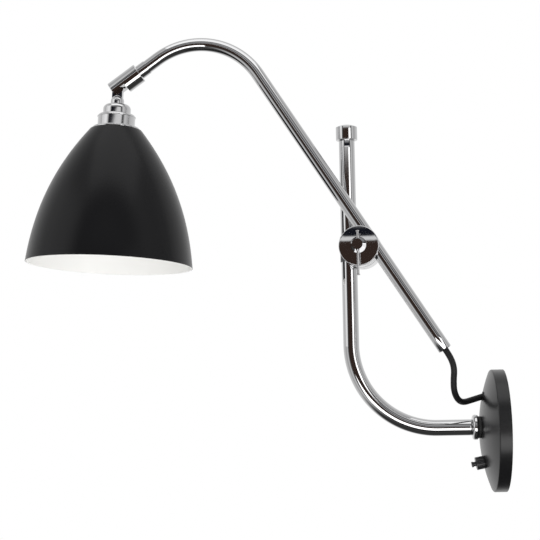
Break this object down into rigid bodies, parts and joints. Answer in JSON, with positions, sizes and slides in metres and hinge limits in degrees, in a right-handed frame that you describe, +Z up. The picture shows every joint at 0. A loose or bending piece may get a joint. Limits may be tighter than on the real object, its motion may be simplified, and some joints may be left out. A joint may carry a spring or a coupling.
{
  "type": "adjustable wall lamp",
  "caption": "Wall lamp with a domed wall plate, a bent upright tube, a cross clamp with a tommy bar, a long crooked arm, a tilting knuckle and a bell shade",
  "frame": {"origin": "The middle of the wall plate's back, on the wall.", "axes": "The wall is the plane X = 0 and the room lies towards -X; +Z is up; the picture looks along +Y."},
  "size_m": [0.4496, 0.1594, 0.4375],
  "materials": {
    "satin_black": "satin black lacquer on spun steel",
    "shade_black": "satin black outside, white enamel inside, on spun aluminium",
    "polished_chrome": "polished chrome plate",
    "zinc_steel": "zinc-plated steel",
    "brass": "plain brass",
    "black_rubber": "moulded black rubber",
    "flex_sheath": "round black sheathed flex",
    "lead_wire": "insulated single lead",
    "black_plastic": "black moulding",
    "bush_plastic": "dark nylon bearing",
    "white_plastic": "white terminal moulding",
    "porcelain": "glazed white insulator",
    "bulb_cap_metal": "plain aluminium bulb cap",
    "opal_glass": "opal white glass"
  },
  "bodies": {
    "wall_bracket": {"wall_plate": "satin_black", "back_disc": "zinc_steel", "stub_bridge": "zinc_steel", "foot_screws": "zinc_steel", "plate_nipple": "zinc_steel", "lock_washer": "zinc_steel", "lock_nut": "zinc_steel", "spacer_sleeve": "zinc_steel", "collar_gasket": "black_rubber", "stub_collar": "polished_chrome", "plate_grommet": "black_rubber", "terminal_block": "white_plastic", "terminal_screws": "brass", "plate_flex": "flex_sheath", "switch_nut": "black_plastic", "switch_body": "black_plastic", "switch_leads": "lead_wire", "upright_tube": "polished_chrome", "upright_cap": "polished_chrome", "flex_cord": "flex_sheath"},
    "plunger": {"switch_plunger": "black_plastic"},
    "liner": {"clamp_liner": "bush_plastic"},
    "rear_clamp": {"rear_block": "polished_chrome", "friction_washer": "bush_plastic"},
    "front_clamp": {"front_block": "polished_chrome"},
    "screw": {"clamp_screw": "polished_chrome"},
    "handle": {"tommy_bar": "polished_chrome", "bar_ends": "polished_chrome"},
    "arm": {"arm_tube": "polished_chrome", "arm_flex": "flex_sheath", "arm_bush": "black_rubber", "knuckle_collar": "polished_chrome"},
    "knuckle": {"knuckle_sleeve": "polished_chrome", "pivot_pin": "polished_chrome"},
    "lamp_head": {"pivot_stem": "polished_chrome", "holder_cap": "polished_chrome", "holder_body": "polished_chrome", "shade": "shade_black", "shade_ring": "black_plastic", "lamp_socket": "porcelain", "screw_shell": "brass", "centre_contact": "brass", "bulb_base": "bulb_cap_metal", "bulb_glass": "opal_glass"}
  },
  "joints": [
    {"name": "switch_press", "type": "slide", "parent": "wall_bracket", "child": "plunger", "axis": [0.9813, 0, 0.1925], "range_m": [0, 0.0022], "stiffness_N_per_m": 900, "springref_m": -0.002},
    {"name": "clamp_height", "type": "slide", "parent": "wall_bracket", "child": "liner", "axis": [0, 0, 1], "range_m": [-0.06, 0.025], "deforming": ["flex_cord"]},
    {"name": "arm_swivel", "type": "hinge", "parent": "liner", "child": "rear_clamp", "pos_m": [-0.141, 0, 0.1732], "axis": [0, 0, 1], "range_deg": [-17, 60], "deforming": ["flex_cord"]},
    {"name": "arm_tilt", "type": "hinge", "parent": "rear_clamp", "child": "front_clamp", "pos_m": [-0.13068, -0.01281, 0.1732], "axis": [0.1392, 0.9903, 0], "range_deg": [-22, 22], "deforming": ["flex_cord"]},
    {"name": "arm_slide", "type": "slide", "parent": "front_clamp", "child": "arm", "axis": [-0.5328, 0.0749, 0.8429], "range_m": [-0.03, 0.025], "deforming": ["flex_cord"]},
    {"name": "head_swivel", "type": "hinge", "parent": "arm", "child": "knuckle", "pos_m": [-0.33174, 0.00545, 0.35509], "axis": [-0.819, 0.1151, -0.5621], "range_deg": [-90, 90]},
    {"name": "head_tilt", "type": "hinge", "parent": "knuckle", "child": "lamp_head", "pos_m": [-0.36065, 0.00951, 0.33525], "axis": [0.1556, 0.9875, -0.0245], "range_deg": [-37, 52]},
    {"name": "screw_turn", "type": "hinge", "parent": "rear_clamp", "child": "screw", "pos_m": [-0.13068, -0.01281, 0.1732], "axis": [0.1392, 0.9903, 0], "range_deg": [0, 180]},
    {"name": "bar_slide", "type": "slide", "parent": "screw", "child": "handle", "axis": [0, 0, 1], "range_m": [-0.0045, 0.019]}
  ]
}
